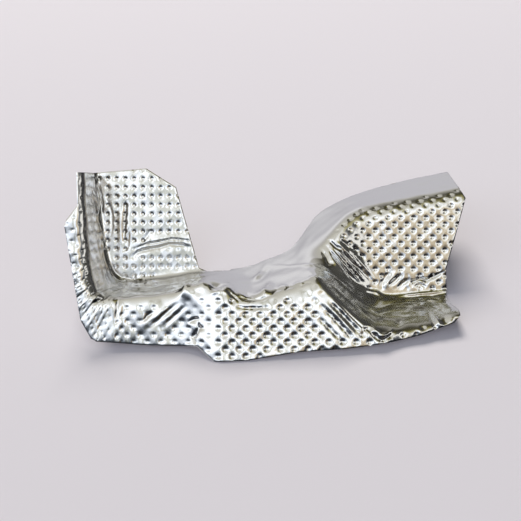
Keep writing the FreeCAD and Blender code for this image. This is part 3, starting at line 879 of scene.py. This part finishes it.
# The room: what the metal mirrors, by angle from the front horizon over the top to the rear, and under it.
# Dark low in front, a white wall of light just over the camera, a dim ceiling, a paler rear wall.
# Part of its right side is beige and olive.
world = bpy.data.worlds.new("room")
world.use_nodes = True
bpy.context.scene.world = world
sky = world.node_tree
way = node(sky, "ShaderNodeSeparateXYZ", [(0, node(sky, "ShaderNodeTexCoord").outputs["Generated"])])
to_right, to_rear, to_top = (way.outputs[k] for k in "XYZ")
front = node(sky, "ShaderNodeMath", [(0, to_rear), (1, -1.0)], operation="MULTIPLY")
angle = node(sky, "ShaderNodeMath", [(0, to_top), (1, front.outputs[0])], operation="ARCTAN2")
rise = node(sky, "ShaderNodeMath", [(0, angle.outputs[0]), (1, 0.5 / math.pi), (2, 0.5)],
            operation="MULTIPLY_ADD")
ROOM = [
    # angle, colour to the left and ahead, colour to the right
    (-180.0, "#A9A7A9", "#A19FA3"), (-165.0, "#8E8C90", "#98969A"), (-140.0, "#8A888A", "#868486"),
    (-110.0, "#8E8C90", "#8E8C90"), (-80.0, "#8A888C", "#8A888C"), (-50.0, "#4A4A4E", "#4A4846"),
    (-25.0, "#222428", "#201D19"), (10.0, "#2C2F34", "#302B25"), (20.0, "#5E646C", "#655B4C"),
    (26.0, "#989EA6", "#8E816C"), (31.0, "#C8CED6", "#A2937A"), (36.0, "#E8EEF7", "#AD9F85"),
    (42.0, "#FAFDFF", "#BFB399"), (48.0, "#F2F5F8", "#C9BFA7"), (54.0, "#D8D9D8", "#B8B19A"),
    (62.0, "#C8C8C4", "#A29D80"), (72.0, "#B8B6AE", "#8E885E"), (84.0, "#ABA89E", "#6C663E"),
    (100.0, "#A3A096", "#38341E"), (120.0, "#9B988F", "#38352A"), (145.0, "#9C9995", "#7C7970"),
    (162.0, "#BCBABA", "#98958F"), (172.0, "#BAB8B9", "#A3A1A2"), (180.0, "#A9A7A9", "#A19FA3"),
]
halves = []
for half in (1, 2):
    ramp = node(sky, "ShaderNodeValToRGB", [(0, rise.outputs[0])])
    while len(ramp.color_ramp.elements) < len(ROOM):
        ramp.color_ramp.elements.new(0.5)
    for stop, row in zip(ramp.color_ramp.elements, ROOM):
        stop.position = row[0] / 360.0 + 0.5
        stop.color = linear(row[half])
    halves.append(ramp.outputs["Color"])
# The beige and olive part starts a little right of the middle, further over in front of the part
slant = node(sky, "ShaderNodeMath", [(0, to_rear), (1, 0.18), (2, to_right)], operation="MULTIPLY_ADD")
before = node(sky, "ShaderNodeMath", [(0, to_rear), (1, 0.0)], operation="MINIMUM")
kinked = node(sky, "ShaderNodeMath", [(0, before.outputs[0]), (1, 0.42), (2, slant.outputs[0])],
              operation="MULTIPLY_ADD")
upper = node(sky, "ShaderNodeMapRange", [(0, kinked.outputs[0]), (1, 0.08), (2, 0.13), (3, 0.0), (4, 1.0)],
             interpolation_type="SMOOTHSTEP")
# Lower down it also starts at one place all round, and it ends before the far right
upright = node(sky, "ShaderNodeMapRange", [(0, to_right), (1, 0.21), (2, 0.29), (3, 0.0), (4, 1.0)],
               interpolation_type="SMOOTHSTEP")
low = node(sky, "ShaderNodeMapRange", [(0, to_top), (1, 0.60), (2, 0.76), (3, 1.0), (4, 0.0)])
lower = node(sky, "ShaderNodeMath", [(0, upright.outputs[0]), (1, low.outputs[0])], operation="MULTIPLY")
either = node(sky, "ShaderNodeMath", [(0, upper.outputs[0]), (1, lower.outputs[0])], operation="MAXIMUM")
near = node(sky, "ShaderNodeMapRange", [(0, to_right), (1, 0.46), (2, 0.62), (3, 1.0), (4, 0.0)])
olive = node(sky, "ShaderNodeMath", [(0, either.outputs[0]), (1, near.outputs[0])], operation="MULTIPLY")
walls = node(sky, "ShaderNodeMix", [(0, olive.outputs[0]), (6, halves[0]), (7, halves[1])], data_type="RGBA")
# Far to the right the room is dark, except well under the horizon
aslant = node(sky, "ShaderNodeMath", [(0, to_rear), (1, 0.1), (2, to_right)], operation="MULTIPLY_ADD")
shade = node(sky, "ShaderNodeMapRange", [(0, aslant.outputs[0]), (1, 0.36), (2, 0.6), (3, 1.0), (4, 0.12)],
             interpolation_type="SMOOTHSTEP")
above = node(sky, "ShaderNodeMapRange", [(0, to_top), (1, -0.5), (2, -0.25), (3, 0.0), (4, 1.0)])
dimmed = node(sky, "ShaderNodeMix", [(0, above.outputs[0]), (6, walls.outputs[2]), (7, shade.outputs[0])],
              data_type="RGBA", blend_type="MULTIPLY")
# Low down at the far left the room is an even grey
left = node(sky, "ShaderNodeMapRange", [(0, to_right), (1, -0.5), (2, -0.65), (3, 0.0), (4, 1.0)])
under = node(sky, "ShaderNodeMapRange", [(0, to_top), (1, -0.05), (2, -0.25), (3, 0.0), (4, 1.0)])
corner = node(sky, "ShaderNodeMath", [(0, left.outputs[0]), (1, under.outputs[0])], operation="MULTIPLY")
even = node(sky, "ShaderNodeMix", [(0, corner.outputs[0]), (6, dimmed.outputs[2]), (7, linear("#8A898C"))],
            data_type="RGBA")
# A dull upright strip in front, a little left of the middle
STRIP = ((-0.13, "#FFFFFF"), (-0.09, "#B6B2A0"), (-0.01, "#B6B2A0"), (0.04, "#FFFFFF"))
sideways = node(sky, "ShaderNodeMath", [(0, to_right), (1, 0.5)])
strip = node(sky, "ShaderNodeValToRGB", [(0, sideways.outputs[0])])
while len(strip.color_ramp.elements) < len(STRIP):
    strip.color_ramp.elements.new(0.5)
for stop, (x, code) in zip(strip.color_ramp.elements, STRIP):
    stop.position = x + 0.5
    stop.color = linear(code)
ahead = node(sky, "ShaderNodeMapRange", [(0, front.outputs[0]), (1, 0.2), (2, 0.5), (3, 0.0), (4, 1.0)])
room = node(sky, "ShaderNodeMix", [(0, ahead.outputs[0]), (6, even.outputs[2]), (7, strip.outputs["Color"])],
            data_type="RGBA", blend_type="MULTIPLY")
# The table takes a cooler, dimmer share of the room, so the shadows are bluish
ROOM_LIGHT = 1.8
ray = node(sky, "ShaderNodeLightPath")
cool = node(sky, "ShaderNodeMix",
            [(0, ray.outputs["Is Diffuse Ray"]), (6, room.outputs[2]), (7, linear("#C6CEE6"))],
            data_type="RGBA", blend_type="MULTIPLY")
light = sky.nodes["Background"]
sky.links.new(cool.outputs[2], light.inputs["Color"])
light.inputs["Strength"].default_value = ROOM_LIGHT
# Past the table's edge the camera sees the same pale grey as the table
beyond = node(sky, "ShaderNodeBackground", [(0, linear("#D9D6DA"))])
choice = node(sky, "ShaderNodeMixShader",
              [(0, ray.outputs["Is Camera Ray"]), (1, light.outputs[0]), (2, beyond.outputs[0])])
sky.links.new(choice.outputs[0], sky.nodes["World Output"].inputs["Surface"])
bpy.context.scene.view_settings.view_transform = "Standard"
